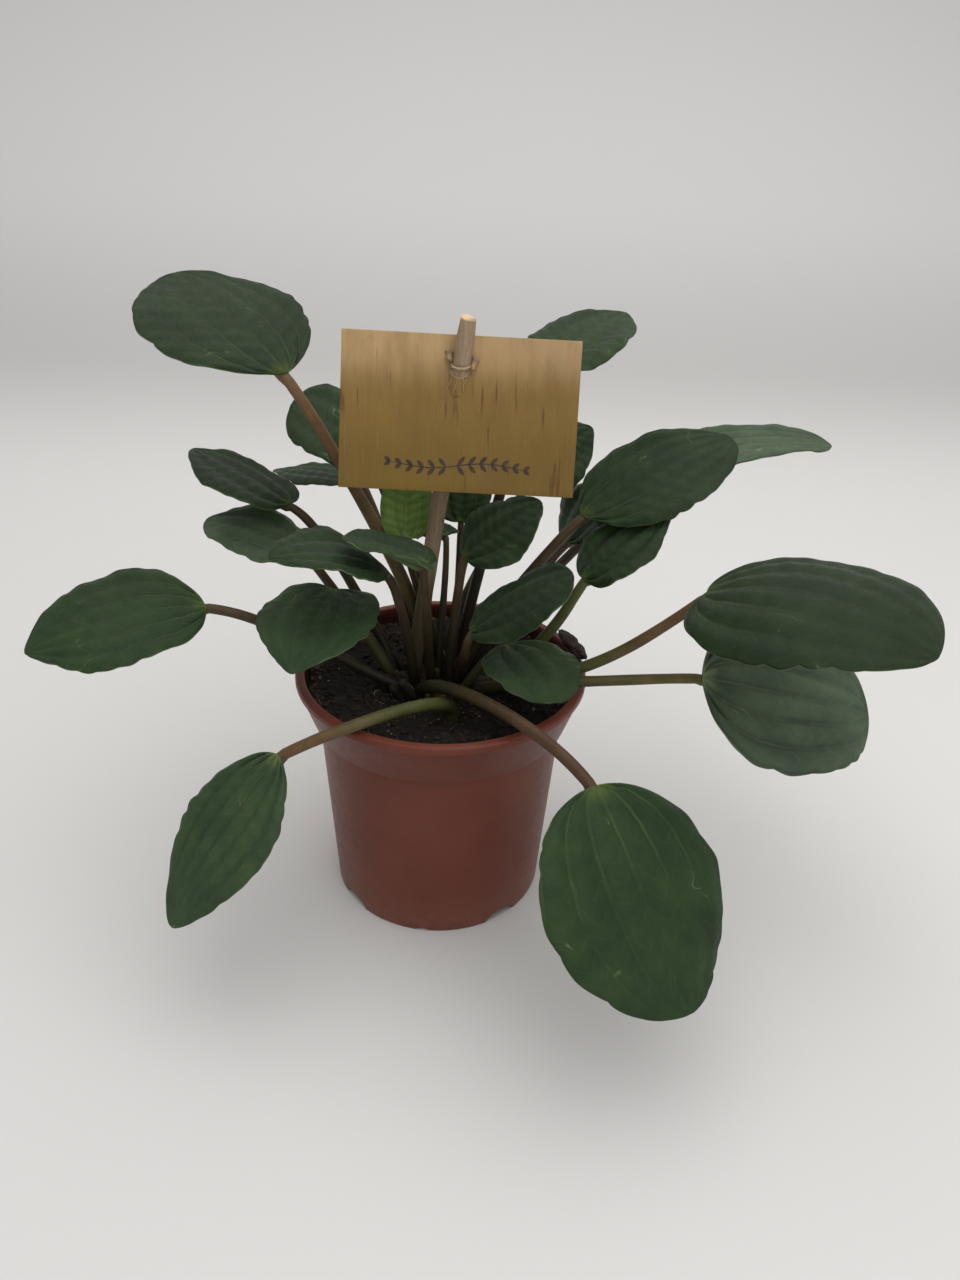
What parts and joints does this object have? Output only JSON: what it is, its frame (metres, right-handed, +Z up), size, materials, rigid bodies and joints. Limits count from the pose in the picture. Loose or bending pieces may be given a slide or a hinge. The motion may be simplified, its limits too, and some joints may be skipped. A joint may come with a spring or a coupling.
{
  "type": "potted ripple peperomia",
  "caption": "Leafy houseplant with broad ribbed leaves on arching stalks, in a round flared nursery pot, with a plain card on a stick.",
  "frame": {"origin": "centre of the pot's flat base disc, on the surface that the pot stands on", "axes": "+Z up along the pot's axis; -Y towards the side that the plain card faces; +X to the right seen from there, along the plant's widest spread"},
  "size_m": [0.3296, 0.2334, 0.2499],
  "materials": {
    "pot": "thin terracotta-brown plastic, satin",
    "soil": "dark damp peat, rough",
    "crown": "rough brown stem base",
    "petiole": "fleshy stalk, olive green to red-brown, soft shine",
    "blade": "dark green leaf, waxy, with lighter veins",
    "young_blade": "bright yellow-green young leaf, waxy",
    "stake": "pale raw round stick",
    "card": "tan card with straight grain, satin",
    "chip": "dark bark chip"
  },
  "bodies": {
    "root": {"pot": "pot", "soil": "soil", "crown": "crown", "petiole_low_left": "petiole", "blade_low_left": "blade", "petiole_left_round": "petiole", "blade_left_round": "blade", "petiole_front_left": "petiole", "blade_front_left": "blade", "petiole_front_right": "petiole", "blade_front_right": "blade", "petiole_right_low": "petiole", "blade_right_low": "blade", "petiole_right_big": "petiole", "blade_right_big": "blade", "petiole_top_left": "petiole", "blade_top_left": "blade", "petiole_back_left": "petiole", "blade_back_left": "blade", "petiole_left_upper": "petiole", "blade_left_upper": "blade", "petiole_left_middle": "petiole", "blade_left_middle": "blade", "petiole_left_inner": "petiole", "blade_left_inner": "blade", "petiole_front_inner": "petiole", "blade_front_inner": "blade", "petiole_back_low_left": "petiole", "blade_back_low_left": "blade", "petiole_young_upright": "petiole", "blade_young_upright": "young_blade", "petiole_young_back": "petiole", "blade_young_back": "blade", "petiole_centre_right": "petiole", "blade_centre_right": "blade", "petiole_young_centre": "petiole", "blade_young_centre": "blade", "petiole_right_upper": "petiole", "blade_right_upper": "blade", "petiole_back_right_low": "petiole", "blade_back_right_low": "blade", "petiole_far_right_top": "petiole", "blade_far_right_top": "blade", "petiole_top_right": "petiole", "blade_top_right": "blade", "petiole_back_right_small": "petiole", "blade_back_right_small": "blade", "petiole_right_middle": "petiole", "blade_right_middle": "blade", "petiole_front_right_inner": "petiole", "blade_front_right_inner": "blade", "petiole_front_right_low": "petiole", "blade_front_right_low": "blade", "label_stake": "stake", "label_card": "card", "bark_chip": "chip"}
  },
  "joints": []
}
